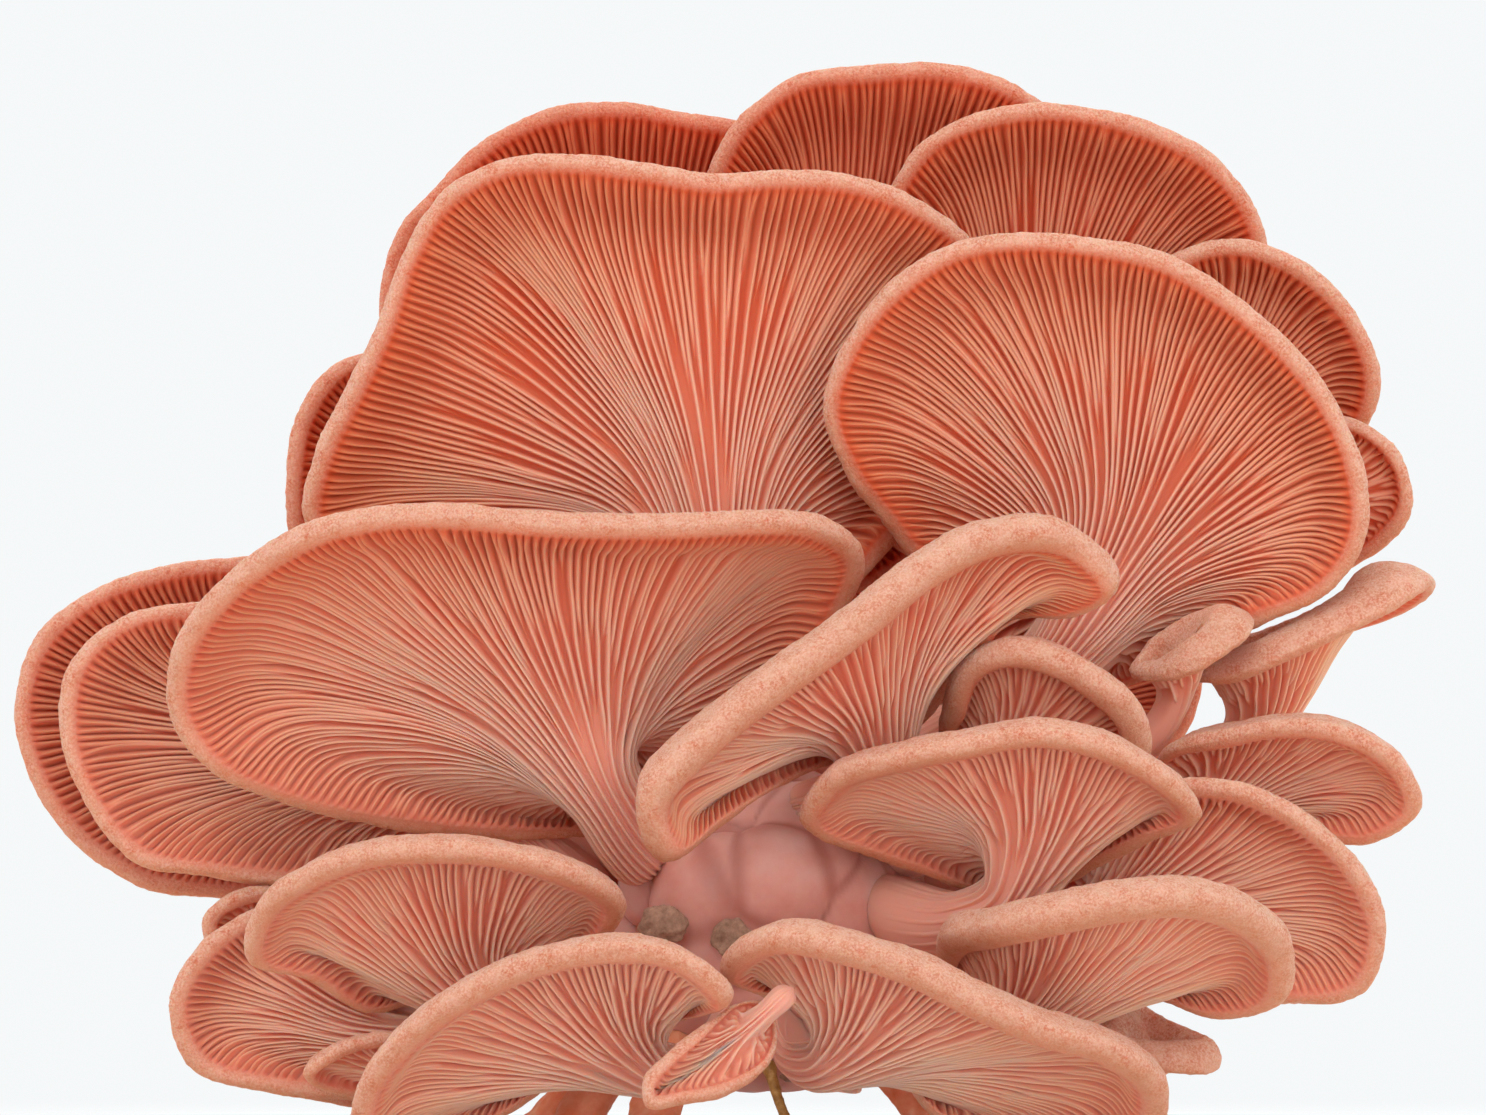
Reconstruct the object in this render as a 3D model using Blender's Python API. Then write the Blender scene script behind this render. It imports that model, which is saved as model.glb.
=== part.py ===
"""A picked cluster of pink oyster mushrooms, standing on its cut stems.

Every mushroom is one solid: a stem that rises from the shared base and opens, like a lopsided trumpet,
into a cap with its gills on the near side of the sheet and its felted skin on the far side.
X runs across the cluster, Y from its gilled front to its back, and Z up from the cut stems.
Tables are in millimetres; the objects are in metres.
"""

import math

import bpy
import numpy as np
from mathutils import Vector
from mathutils.bvhtree import BVHTree

MM = 0.001

# Driving dimensions, in millimetres
GAP = 0.45  # least air left between two pieces
SIDE_STEP = 9.5  # rim length that one facet of a cap spans
FEWEST_SIDES, MOST_SIDES = 12, 28
GILL_STATIONS = (0.28, 0.55, 0.80)  # rings between the neck and the margin
SKIN_STATIONS = (0.78, 0.50)  # rings on the felted side, from the margin inwards
# The rolled margin in section: outwards through the band, and forwards past the last gill
BAND_SECTION = ((0.28, 0.30), (0.74, 0.30), (1.0, -0.15))

SKIN_FACES = np.array([0.0, 1.0, 0.9])  # every skin faces up or to the back

BASE_CENTRE = (3.0, 3.0, 32.5)
BASE_RADII = (20.0, 14.5, 20.5)
# Swellings of the base: direction from its centre, height, and width as an angle in degrees
BASE_LUMPS = (
    ((0.0, -1.0, 0.30), 2.6, 20),
    ((0.45, -1.0, 0.35), 3.0, 22),
    ((-0.35, -1.0, 0.15), 2.0, 16),
    ((-0.60, -0.8, 0.75), 3.2, 28),
    ((0.80, -0.5, 0.75), 2.6, 28),
    ((-0.75, -0.6, -0.40), 2.4, 24),
    ((0.70, 0.7, 0.20), 2.6, 28),
    ((-0.70, 0.8, 0.10), 2.8, 30),
    ((0.10, 0.7, -0.80), 2.2, 30),
)


class Mushroom:
    """root and neck: where the stem leaves the base, and where the gills begin. rim: points on the cap's
    margin, in order round it. cup and curl: how far the sheet bellies out behind its margin, and how
    sharply the margin turns in, as shares of the distance from neck to margin. band: how thick the
    rolled margin is. flesh: how far the skin lies behind the gills."""

    def __init__(self, name, root, neck, stem_radius, rim, band=2.6, cup=0.17, curl=0.24, flesh=4.2):
        self.name = name
        self.root = np.array(root, float)
        self.neck = np.array(neck, float)
        self.stem_radius = stem_radius
        self.rim = np.array(rim, float)
        self.band = band
        self.cup = cup
        self.curl = curl
        self.flesh = flesh


MUSHROOMS = (
    # The great caps of the upper half
    Mushroom("cap_left_great", (-9, -3, 40), (-17, -10, 48.5), 6.4, [
        (-75.2, -14, 61), (-74.4, -18, 69), (-69, -23, 76.5), (-60, -28, 83), (-50, -31, 86.4),
        (-38, -32, 86.8), (-25, -31, 85.8), (-11, -29, 85.5), (2, -26, 86.0), (11, -22, 85),
        (14.4, -18, 82), (13.6, -14, 77), (6, -8, 61), (-3, -2, 50), (-13, 1, 43), (-27, 0, 43),
        (-42, -5, 45.5), (-54, -9, 47.6), (-64, -11, 50.6), (-71.5, -13, 54.8)], band=3.8, cup=0.13,
        flesh=4.4),
    Mushroom("cap_upper_left", (-5, 5, 53), (-3, -1, 76), 6.4, [
        (-57.6, 6, 86), (-56, 4, 95), (-51.6, 3, 104), (-47, 2, 114), (-43.5, 1, 124), (-37, -1, 131),
        (-28, -3, 133.8), (-16, -4, 133.0), (-5, -4, 131.2), (8, -3, 131.7), (17, -1, 130.4),
        (25, 1, 126.8), (30, 3, 122.6), (33, 5, 114), (31, 6, 102), (26, 7, 93), (20, 8, 84),
        (11, 9, 75), (0, 9, 68), (-13, 9, 65.5), (-32, 8, 70), (-49, 7, 77.5)], band=2.9, cup=0.13,
        flesh=5.0),
    Mushroom("cap_right_great", (16, 8, 49), (45, 2, 70.5), 6.0, [
        (11.6, -5, 101), (13.2, -6, 107.5), (17, -8, 113), (22, -9, 118.3), (30, -10, 122.6),
        (38, -11, 123.4), (48, -11, 122.4), (58, -11, 119.6), (68, -11, 112.6), (76, -11, 104.3),
        (80.8, -10, 95.5), (82.2, -9, 87), (80.2, -7, 79.2), (73, -5, 74.6), (64, -1, 70.5),
        (55, 5, 65.5), (46, 9, 62), (36, 10.6, 65), (29, 7, 73), (22, 2, 83), (14.2, -3, 93.2)],
        band=2.9, cup=0.14, flesh=5.0),
    Mushroom("cap_crown_left", (-8, 17, 49), (-11, 30, 84), 5.0, [
        (-48, 36, 114), (-47.2, 36, 120.8), (-43.5, 35, 127), (-38, 34, 133.3), (-31, 34, 138.6),
        (-23, 33, 141), (-15, 33, 141.3), (-7, 33, 139.8), (1, 34, 138.6), (9, 35, 134),
        (13, 36, 124), (13, 38, 110), (10, 39, 96), (2, 39, 83), (-12, 38, 76), (-27, 37, 82),
        (-39, 36, 95), (-46, 36, 106)], cup=0.12),
    Mushroom("cap_crown_middle", (3, 18, 50), (8, 26, 84), 5.0, [
        (-4.2, 26, 131), (-2.5, 25, 136), (1.4, 24, 140.7), (6.5, 23, 144.5), (13, 23, 145.6),
        (20, 23, 146.2), (27, 23, 146.3), (33.5, 23, 144.8), (39.5, 24, 141.4), (44, 26, 135),
        (45, 28, 122), (42, 31, 108), (34, 33, 94), (24, 34, 82), (10, 33, 76), (-2, 33, 83),
        (-7, 31, 97), (-7, 29, 114)], cup=0.12),
    Mushroom("cap_crown_right", (10, 15, 48), (33, 20, 87), 5.6, [
        (20.2, 16, 130), (22.6, 15, 134.2), (27, 14, 137.8), (34, 13, 140.2), (42, 13, 141),
        (49, 13, 139.6), (56, 13, 137.6), (61.6, 14, 134.6), (65.8, 15, 130.4), (68.6, 17, 125),
        (70, 21, 112), (64, 25, 99), (54, 27, 89), (42, 28, 81), (28, 28, 79), (18, 26, 86),
        (14, 23, 98), (15, 19, 114)], cup=0.12),
    Mushroom("cap_right_shoulder", (13, 20, 42), (57, 18.5, 89), 4.4, [
        (57, 9.5, 120.2), (61, 8.5, 122.4), (67, 8.5, 122.6), (73, 8.5, 120.4), (78.5, 9.5, 116.5),
        (82.2, 10.5, 111.5), (84.3, 12.5, 105.5), (82.5, 16.5, 98), (75, 20.5, 90), (66, 22.5, 83),
        (57, 24.5, 79), (49, 24.5, 82), (45, 22.5, 91), (46, 19.5, 103), (50, 14.5, 112)], cup=0.13),
    Mushroom("cap_left_shoulder", (-14, 15, 44), (-39, 22, 84), 4.2, [
        (-59.4, 22, 83), (-60.4, 21, 91), (-59.4, 21, 98.2), (-57, 21, 103.2), (-53.2, 21, 106.8),
        (-48, 22, 108), (-40, 24, 105), (-33, 26, 97), (-28, 29, 88), (-31, 30, 80),
        (-40, 29, 76), (-51, 25, 77.5)], cup=0.13),
    # The left wing
    Mushroom("cap_left_outer", (-14, 12, 38), (-44, 18, 54), 5.0, [
        (-60, 21, 79.5), (-70, 19, 80), (-78, 17, 78.8), (-85, 16, 76.6), (-91, 15, 73.2),
        (-95.2, 15, 67.4), (-96.7, 15, 61.4), (-95.8, 15, 54), (-92.2, 15, 47.6), (-87.6, 15, 42.2),
        (-82, 15, 38.5), (-75.5, 15, 36.8), (-67, 17, 36), (-57, 20, 36.5), (-46, 24, 39.5),
        (-36, 27, 46), (-33, 27, 55), (-39, 25, 64), (-48, 22, 72)], cup=0.13, flesh=4.6),
    Mushroom("cap_left_inner", (-17, 0, 36), (-39, 3, 50), 5.0, [
        (-63, 3, 73), (-72.5, 1, 74.0), (-80, 0, 73.2), (-86, -1, 70.2), (-89.4, -1, 64.8),
        (-90.0, -1, 57), (-88.4, -1, 50.6), (-84.4, -1, 45), (-80, -1, 40.6), (-74.6, -1, 38.2),
        (-68.5, -1, 37.6), (-61, 1, 36.5), (-52, 3, 36), (-42, 4, 37.5), (-33, 5, 41),
        (-28, 5, 48), (-31, 5, 58), (-40, 5, 68), (-52, 4, 73)], cup=0.13, flesh=4.6),
    # The middle
    Mushroom("cap_middle_slanted", (9, -5, 44), (17, -17, 53), 5.0, [
        (-10.4, -33, 42.6), (-13.4, -36, 45.0), (-12, -37, 50), (-7.6, -37, 55),
        (-2, -37, 60), (6, -36, 66), (14, -35, 71.6), (22, -33, 78), (29, -31, 82.4),
        (37, -30, 84.6), (44, -28, 83.4), (47.6, -26, 80), (47.6, -23, 76), (44, -20, 74.3),
        (37, -16, 74), (30.5, -11, 69.4), (24.4, -8, 61), (16, -8, 54), (7, -13, 50.6), (-1, -22, 48.6),
        (-7, -29, 44.8)], band=5.2, cup=0.12, curl=0.16, flesh=4.4),
    Mushroom("cap_middle_curled", (19, -4, 41), (33, -12, 51), 4.0, [
        (27, -16, 62), (28.4, -20, 67), (31.6, -23, 69.4), (36.6, -24, 69.6), (42, -24, 67.8),
        (47, -23, 64.4), (51, -21, 60.6), (52.6, -18, 56.4), (50, -14, 50), (42, -10, 46.5),
        (33, -7, 47.6), (27, -9, 54)], band=4.6, cup=0.13, curl=0.16, flesh=3.6),
    Mushroom("cap_middle_right", (18, -8, 35), (36, -21, 36.5), 4.6, [
        (8.6, -24, 47.0), (10.6, -28, 51.4), (16, -32, 53.8), (24, -35, 55.2), (32, -37, 56.8),
        (40, -38, 57.8), (48, -37, 56.0), (54, -35, 53.0), (58.6, -31, 49.4), (59.6, -28, 47),
        (57, -25, 45.6), (50, -20, 43), (43, -15, 38.8), (36, -11, 36), (27, -13, 38.8),
        (19, -17, 42.3), (12, -21, 44.6)], band=3.4, curl=0.18),
    # The right wing
    Mushroom("cap_right_tan", (22, 2, 40), (57, -5, 62), 2.4, [
        (52, -6, 65.4), (55, -10, 65), (60, -13, 66.4), (65, -13, 69.4), (67.4, -11, 72),
        (65.4, -6, 73), (60, -2, 71.4), (54.4, -1, 68)], band=2.0, cup=0.3, flesh=2.8),
    Mushroom("cap_right_hooded", (22, 9, 42), (66, 7, 57.5), 5.6, [
        (59.4, 0, 66.2), (64, -5, 65.6), (71, -7, 67.8), (78, -7, 70.8), (85, -6, 74.2),
        (90.2, -2, 77.4), (91.6, 3, 77.6), (89.6, 8, 75.4), (84, 12, 73), (77, 14, 71),
        (69, 15, 69), (62, 12, 68), (59, 6, 67.2)], band=2.4, cup=0.2, flesh=3.6),
    Mushroom("cap_right_small", (18, 18, 40), (75, 12.5, 87), 3.0, [
        (78.6, 10, 99.4), (83.2, 8, 98.2), (86.8, 8, 95.2), (88.6, 9, 91.2), (88.4, 10, 87),
        (86, 12, 83.8), (80, 14, 79.5), (73, 16, 77), (67, 16, 80), (66, 14, 88), (72, 12, 96)],
        band=2.2, flesh=3.0),
    Mushroom("cap_right_fan", (20, 4, 36), (60, 0, 47), 4.2, [
        (56.6, -7, 55.4), (62, -10, 56.8), (69, -12, 58.4), (76, -13, 58.6), (82, -13, 57),
        (87, -12, 53.6), (89.4, -10, 50), (88.6, -8, 46.8), (86, -6, 44.6), (81.6, -4, 43.8),
        (75, -1, 44.4), (67, 4, 43.6), (59, 7, 44), (54, 3, 49)], band=2.8),
    Mushroom("cap_right_low", (19, -1, 30), (46, -11, 33), 4.6, [
        (50, -14, 47), (56.5, -19, 50.4), (63, -21, 50.8), (69, -21, 48.8), (75, -20, 45.6),
        (80, -18, 41), (83.5, -16, 35.9), (84.6, -14, 30), (83.2, -12, 25.4), (80, -10, 22.8),
        (75.5, -9, 22.2), (69.5, -8, 23), (62, -6, 25), (52, -2, 27), (43, -2, 31), (43, -6, 40)],
        band=2.9),
    # The low front
    Mushroom("cap_front_right", (14, -8, 25), (33, -22, 18), 4.6, [
        (27.6, -30, 30.6), (31, -36, 31.6), (37, -41, 33), (43.6, -44, 34.4), (50, -45, 35.6),
        (57, -44, 36.2), (63.4, -41, 35.2), (68.6, -36, 32.4), (71.6, -31, 28.4), (71.2, -27, 24.5),
        (68.4, -24, 22.4), (64, -22, 21.5), (59, -20, 22.6), (52.5, -18, 24), (45.5, -17, 23.5),
        (38, -17, 24), (31.5, -18, 24.5), (27.4, -23, 26.5)], band=5.2, cup=0.12, curl=0.14),
    Mushroom("cap_front_low_right", (8, -8, 19), (12, -27, 14.6), 4.2, [
        (-0.8, -38, 27), (1.6, -43, 30.2), (6, -46, 31.2), (14, -48, 29.6), (22, -48, 27),
        (30, -48, 23), (38, -47, 19.4), (46, -45, 17), (52, -41, 14.4), (54.8, -37, 10.2),
        (54, -33, 5.4), (48.6, -30, 2.9), (40, -28, 2.8), (31, -26, 5.2), (24, -25, 10),
        (18.4, -24.5, 16.6), (12.6, -25, 21.4), (8, -27, 22.4), (3, -31, 24.4)], band=4.4,
        cup=0.12, curl=0.16),
    Mushroom("cap_front_low_left", (-5, -8, 20), (-13, -28, 14), 4.4, [
        (-50.2, -34, 3.4), (-50.8, -37, 8.6), (-47, -41, 15.2), (-40, -45, 21.4), (-31, -48, 26.4),
        (-21, -49, 29.2), (-11.5, -49, 29), (-5, -49, 26.0), (-2.0, -45.6, 22.6), (-5.0, -37, 20.8),
        (-8.8, -29, 20), (-14.4, -25.4, 20), (-20.4, -25, 16.4), (-28, -26, 10.6),
        (-36, -28, 6.2), (-44, -30.4, 3.2)], band=3.6, cup=0.12, curl=0.18),
    Mushroom("cap_front_small", (3.4, -43.6, 23.0), (0.4, -42.8, 20.2), 1.7, [
        (-1.6, -40.8, 22.8), (-6.0, -45, 19.4), (-10.2, -48.6, 15.2), (-13.4, -51, 10.6),
        (-12.4, -51, 9.2), (-8, -49, 9.8), (-2.6, -46, 11.4), (1.6, -43, 14.2), (2.8, -40.5, 18),
        (2.6, -38.6, 21.2), (0.8, -38.8, 23.0)], band=2.2, cup=0.14, flesh=2.4),
    Mushroom("cap_front_left", (-13, -6, 27), (-32, -17.5, 20.8), 4.6, [
        (-57, -17, 25.8), (-62.2, -18, 26.2), (-65.0, -21, 29.4), (-64.0, -25, 33.8),
        (-58.6, -31, 38.4), (-50, -36, 41.8), (-40, -38, 42.5), (-30, -38, 41.6), (-21.5, -36, 38.8),
        (-16.8, -31, 35.4), (-20.6, -22, 29.6), (-28, -15.4, 27.4), (-35.4, -12.6, 26.6),
        (-42.6, -11.8, 23.4), (-50, -13, 21.6)], band=3.4, cup=0.13, curl=0.18),
    Mushroom("cap_left_low", (-14, 2, 28), (-42, -8, 18), 4.4, [
        (-42, -3, 28), (-50, -7, 34), (-59, -10, 35.2), (-66, -11, 33), (-71.4, -11, 29),
        (-75.0, -10, 24), (-75.4, -9, 19), (-73.8, -8, 15), (-70.0, -7, 12), (-65, -7, 10.8),
        (-59, -7, 10.4), (-51, -6, 10.6), (-43, 0, 12), (-38, 1, 20)], band=2.8),
    Mushroom("cap_left_button", (-15, 8, 32), (-58, 4, 30), 3.0, [
        (-70.8, 0, 30), (-71.4, -1, 34), (-68.8, -1, 36.5), (-64, 0, 37.6), (-58, 3, 37),
        (-52, 7, 33), (-51, 8, 27), (-58, 6, 24), (-67, 3, 26)], band=2.4, flesh=3.2),
    Mushroom("cap_left_lip", (-13, -4, 21), (-43.5, -20.5, 13.2), 2.4, [
        (-44, -23.4, 17.2), (-50, -26, 17), (-54.4, -26, 15.3), (-57.6, -25, 13), (-57.4, -23, 11.6),
        (-53, -20, 10.4), (-47, -17.6, 10.4), (-41.4, -16.4, 13.8), (-40.4, -19, 16.8)],
        band=2.0, flesh=2.4),
    Mushroom("cap_left_lowest", (-12, 5, 22), (-42, 1, 11), 2.6, [
        (-44, -2, 15.5), (-52, -4, 15.4), (-58.2, -4, 12.6), (-58, -3, 9.6), (-53, -1, 8.2),
        (-46, 2, 7.2), (-39, 5, 8.2), (-38, 5, 13)], band=2.0, flesh=2.6),
    Mushroom("cap_right_lowest", (17, -3, 22), (51, -14, 12.5), 2.4, [
        (46.5, -17, 20.8), (47.5, -21, 16.8), (52, -22, 14.4), (57, -21, 13.4), (61.6, -18, 13),
        (62.6, -15, 14), (59, -12, 16.6), (54.4, -9, 18.8), (49.6, -9, 21.2)],
        band=2.2, cup=0.25, flesh=3.0),
    # The back, out of sight of the gilled front
    Mushroom("cap_back_upper_left", (-13, 19, 39), (-22, 31.2, 58), 4.6, [
        (-50, 37.2, 62), (-54, 40.2, 76), (-48, 42.2, 90), (-36, 43.2, 99), (-20, 44.2, 101), (-5, 43.2, 97),
        (4, 40.2, 86), (2, 38.2, 72), (-8, 39.2, 60), (-22, 40.2, 53), (-38, 38.2, 54)], cup=0.13),
    Mushroom("cap_back_right", (13, 20, 37), (32, 30.2, 54), 4.6, [
        (6, 43.2, 64), (12, 45.2, 79), (24, 45.2, 89), (38, 43.2, 92), (51, 39.2, 86), (60, 36.2, 74),
        (60, 35.2, 60), (50, 36.2, 50), (36, 39.2, 46), (20, 41.2, 49), (10, 42.2, 55)], cup=0.13),
    Mushroom("cap_back_left", (-12, 17, 29), (-30, 27.2, 29), 4.4, [
        (-56, 29.2, 20), (-62, 31.2, 32), (-58, 35.2, 45), (-46, 39.2, 51), (-31, 40.2, 51), (-17, 39.2, 44),
        (-11, 39.2, 31), (-17, 38.2, 19), (-35, 32.2, 12)], cup=0.13),
    Mushroom("cap_back_low_right", (12, 18, 25), (28, 28.2, 22), 4.4, [
        (2, 37.2, 30), (8, 39.2, 40), (21, 39.2, 44), (36, 38.2, 44), (48, 35.2, 38), (54, 32.2, 27),
        (49, 29.2, 17), (37, 29.2, 11), (21, 33.2, 11), (8, 36.2, 18)], cup=0.13),
)

# The stems cut through when the cluster was picked: top at the base, foot on the ground, and foot radius
CUT_STEMS = (
    ("cut_stem_front", (-8, -6, 20), (-11.4, -17, 0), 3.9),
    ("cut_stem_front_left", (-13, 0, 20), (-26, -6, 0), 4.2),
    ("cut_stem_back_left", (-12, 9, 20), (-31, 19, 0), 4.6),
    ("cut_stem_back_right", (15, 9, 20), (34, 20, 0), 4.8),
    ("cut_stem_front_right", (15, -1, 19), (30, -9, 0), 4.4),
)

STRAW = [(4.0, -5.0, 14.2), (4.8, -7.0, 11.0), (6.2, -9.4, 6.6), (8.0, -11.6, 2.4)]
STRAW_RADIUS = 0.65
# Crumbs of the bed that the cluster grew on: centre and radii
CRUMBS = (
    ("bed_crumb_low", (6.6, -3.0, 12.6), (2.6, 1.9, 1.2)),
    ("bed_crumb_left", (-10.5, -14.6, 32.2), (3.4, 1.6, 2.4)),
    ("bed_crumb_middle", (-1.6, -15.6, 30.6), (2.6, 1.5, 2.6)),
)


def unit(vectors):
    """Each vector at length 1."""
    length = np.linalg.norm(vectors, axis=-1, keepdims=True)
    return vectors / np.maximum(length, 1e-9)


def closed_spline(points, parameters):
    """Points on the smooth closed curve through points; a whole parameter is a given point."""
    count = len(points)
    start = np.floor(parameters).astype(int)
    t = (parameters - start)[:, None]
    before, here, after, beyond = (points[(start + k) % count] for k in (-1, 0, 1, 2))
    return 0.5 * (
        2 * here
        + (after - before) * t
        + (2 * before - 5 * here + 4 * after - beyond) * t**2
        + (3 * here - before - 3 * after + beyond) * t**3
    )


def even_loop(points, step):
    """The closed curve through points, cut into even steps of about that length."""
    fine = np.linspace(0, len(points), 40 * len(points), endpoint=False)
    curve = closed_spline(points, fine)
    steps = np.linalg.norm(np.roll(curve, -1, axis=0) - curve, axis=1)
    along = np.concatenate([[0], np.cumsum(steps)])
    sides = int(np.clip(round(along[-1] / step), FEWEST_SIDES, MOST_SIDES))
    places = np.linspace(0, along[-1], sides, endpoint=False)
    return closed_spline(points, np.interp(places, along, np.append(fine, len(points))))


def loop_normal(loop):
    """The direction that a closed loop of points turns about."""
    arms = loop - loop.mean(axis=0)
    return unit(np.cross(arms, np.roll(arms, -1, axis=0)).sum(axis=0))


def turned(vectors, start, end):
    """Vectors under the shortest turn that takes the unit vector start to end."""
    axis = np.cross(start, end)
    cosine = float(start @ end)
    inner = vectors @ axis
    return vectors * cosine + np.cross(axis, vectors) + np.outer(inner, axis) / (1 + cosine)


def bezier(stations, a, b, c, d):
    """Cubic curves from a to d, one per row of the ends, at each station: (station, row, 3)."""
    t = np.asarray(stations, float)[:, None, None]
    return (1 - t) ** 3 * a + 3 * (1 - t) ** 2 * t * b + 3 * (1 - t) * t**2 * c + t**3 * d


def gill_sheet(mushroom, stations):
    """The gilled face at the stations, from the neck's ring out over the belly and into the margin; the
    way out through the flesh and the way the face runs on, at every point of it; the way the stem points;
    and each spoke's length."""
    rim = even_loop(mushroom.rim, SIDE_STEP)
    if loop_normal(rim) @ SKIN_FACES < 0:
        rim = rim[::-1]
    normal = loop_normal(rim)
    along = unit(np.roll(rim, -1, axis=0) - np.roll(rim, 1, axis=0))
    outwards = unit(np.cross(along, normal))
    towards = unit(rim.mean(axis=0) - mushroom.neck)
    rise = unit(unit(mushroom.neck - mushroom.root) + 0.6 * normal + 0.5 * towards)
    reach = rim - mushroom.neck
    reach = reach - np.outer(reach @ normal, normal)
    radius = np.minimum(mushroom.stem_radius, 0.7 * np.linalg.norm(reach, axis=1, keepdims=True))
    ring = mushroom.neck + radius * turned(unit(reach), normal, rise)
    length = np.linalg.norm(rim - ring, axis=1, keepdims=True)
    up_the_stem = ring + 0.33 * length * rise
    over_the_belly = rim + length * (mushroom.cup * normal - mushroom.curl * outwards)
    frame = (ring, up_the_stem, over_the_belly, rim)
    step = 0.01
    sheet = bezier(stations, *frame)
    slope = unit(bezier(stations + step, *frame) - bezier(stations - step, *frame))
    onwards, backwards = (slope * outwards).sum(axis=2), slope @ normal
    skinwards = unit(
        np.maximum(onwards, 0.35)[..., None] * normal - backwards[..., None] * outwards
    )
    return sheet, slope, skinwards, rise, length


def stem_rings(mushroom, neck_ring, rise):
    """The stem below the neck: its tip against the base, the ring behind the tip, and a ring half way."""
    root, neck, radius = mushroom.root, mushroom.neck, mushroom.stem_radius
    heading = unit(neck - root)
    span = np.linalg.norm(neck - root)
    arms = turned(neck_ring - neck, rise, heading)
    bend = neck - rise * span * 0.4
    half_way = 0.25 * root + 0.5 * bend + 0.25 * neck + arms * 0.88
    low = root + arms * 0.78 + 0.1 * span * unit(bend - root)
    return root + 0.03 * span * heading, low, half_way


def mushroom_rings(mushroom):
    """The tip of the stem, the rings up its side and over the cap, and the crown of the cap."""
    stations = np.array([0.0, *GILL_STATIONS, 1.0, *SKIN_STATIONS])
    sheet, slope, skinwards, rise, length = gill_sheet(mushroom, stations)
    edge = len(GILL_STATIONS) + 1
    slim = np.clip(length / (2.6 * mushroom.flesh), 0.2, 1)
    tip, low, half_way = stem_rings(mushroom, sheet[0], rise)
    depth = mushroom.band * slim
    margin = sheet[edge] - 0.55 * depth * skinwards[edge]
    band = [margin + depth * (skinwards[edge] * out + slope[edge] * on) for out, on in BAND_SECTION]
    skin = [sheet[k] + skinwards[k] * mushroom.flesh * slim for k in range(edge + 1, len(sheet))]
    crown = skin[-1].mean(axis=0) + skinwards[-1].mean(axis=0) * 0.1 * mushroom.flesh
    return [tip[None], low, half_way, *sheet[:edge], margin, *band, *skin, crown[None]]


def ring_faces(rings):
    """Triangles that join each ring to the next; a ring of one point is a tip."""
    starts = np.cumsum([0] + [len(ring) for ring in rings])
    faces = []
    for k in range(len(rings) - 1):
        low, high, sides = starts[k], starts[k + 1], max(len(rings[k]), len(rings[k + 1]))
        for i in range(sides):
            j = (i + 1) % sides
            if len(rings[k]) == 1:
                faces.append((low, high + j, high + i))
            elif len(rings[k + 1]) == 1:
                faces.append((low + i, low + j, high))
            else:
                faces.append((low + i, low + j, high + j))
                faces.append((low + i, high + j, high + i))
    return np.array(faces)


def volume(points, faces):
    a, b, c = (points[faces[:, k]] for k in range(3))
    return float(np.einsum("ij,ij->", a, np.cross(b, c))) / 6


class Piece:
    """A closed solid in millimetres, before it becomes an object."""

    def __init__(self, name, points, faces, colour, fixed=False):
        self.name = name
        self.points = points
        self.faces = faces if volume(points, faces) > 0 else faces[:, ::-1]
        self.colour = colour
        self.fixed = fixed
        self.on_ground = points[:, 2] == 0

    def tree(self):
        return BVHTree.FromPolygons([Vector(p) for p in self.points], self.faces.tolist())

    def probes(self):
        """Every corner, and the middle of every face."""
        return np.concatenate([self.points, self.points[self.faces].mean(axis=1)])

    def box(self):
        return self.points.min(axis=0), self.points.max(axis=0)


SALMON = (0.86, 0.42, 0.30)
PALE = (0.88, 0.62, 0.55)
STRAW_BROWN = (0.52, 0.34, 0.12)
BED_BROWN = (0.42, 0.33, 0.26)


def mushroom_piece(mushroom):
    rings = mushroom_rings(mushroom)
    return Piece(mushroom.name, np.concatenate(rings), ring_faces(rings), SALMON)


def lumpy_base():
    """The fused foot of the cluster: an egg with rounded swellings where buds never opened."""
    around, levels = 22, 11
    centre, radii = np.array(BASE_CENTRE), np.array(BASE_RADII)
    rings = []
    for level in range(levels + 1):
        tilt = math.pi * level / levels
        turns = 1 if level in (0, levels) else around
        angle = 2 * math.pi * np.arange(turns) / turns
        way = np.stack(
            [np.sin(tilt) * np.cos(angle), np.sin(tilt) * np.sin(angle), np.full(turns, -np.cos(tilt))],
            axis=1,
        )
        swell = np.zeros(turns)
        for direction, height, width in BASE_LUMPS:
            apart = np.degrees(np.arccos(np.clip(way @ unit(np.array(direction)), -1, 1)))
            swell += height * np.exp(-((apart / width) ** 2))
        rings.append(centre + way * radii + way * swell[:, None])
    return Piece("fused_base", np.concatenate(rings), ring_faces(rings), PALE, fixed=True)


def cut_stem(name, top, foot, foot_radius):
    """A stem cut square at the ground, waisted a little and spreading to its flat foot."""
    sides = 12
    top, foot = np.array(top, float), np.array(foot, float)
    angle = 2 * math.pi * np.arange(sides) / sides
    circle = np.stack([np.cos(angle), np.sin(angle), np.zeros(sides)], axis=1)
    rings = [foot[None]]
    for share, widening in ((0.0, 1.0), (0.12, 0.97), (0.45, 0.86), (0.8, 0.82), (1.0, 0.6)):
        sway = 1.2 * math.sin(math.pi * share)
        centre = foot + (top - foot) * share + np.array([0, sway, 0])
        rings.append(centre + circle * foot_radius * widening)
    rings.append(rings[-1].mean(axis=0)[None] + unit(top - foot) * 0.6)
    return Piece(name, np.concatenate(rings), ring_faces(rings), SALMON)


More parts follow.
